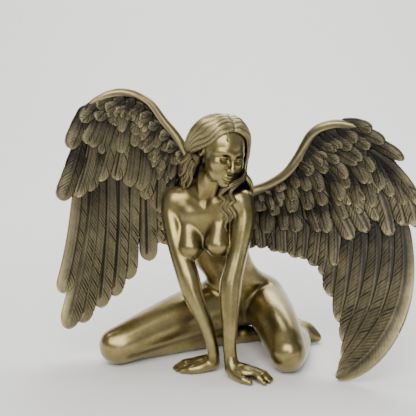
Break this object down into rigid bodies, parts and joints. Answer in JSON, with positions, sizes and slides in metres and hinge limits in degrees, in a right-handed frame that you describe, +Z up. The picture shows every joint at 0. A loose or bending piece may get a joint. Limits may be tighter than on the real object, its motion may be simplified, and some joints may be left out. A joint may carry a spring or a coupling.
{
  "type": "angel figurine",
  "caption": "Tabletop figurine of a kneeling woman with large feathered wings, leaning forward on her hands, cast in one piece of patinated bronze.",
  "frame": {"origin": "under the middle of the bounding box, on the plane that shins, feet and hands rest on", "axes": "+Z up, -Y the way the figure faces, +X towards its left wing"},
  "size_m": [0.329, 0.1436, 0.2497],
  "materials": {
    "bronze": "cast bronze with a satin olive-brown patina, darker in the hollows of the wings and rubbed bright on raised edges"
  },
  "bodies": {
    "root": {"kneeling_angel": "bronze"}
  },
  "joints": []
}
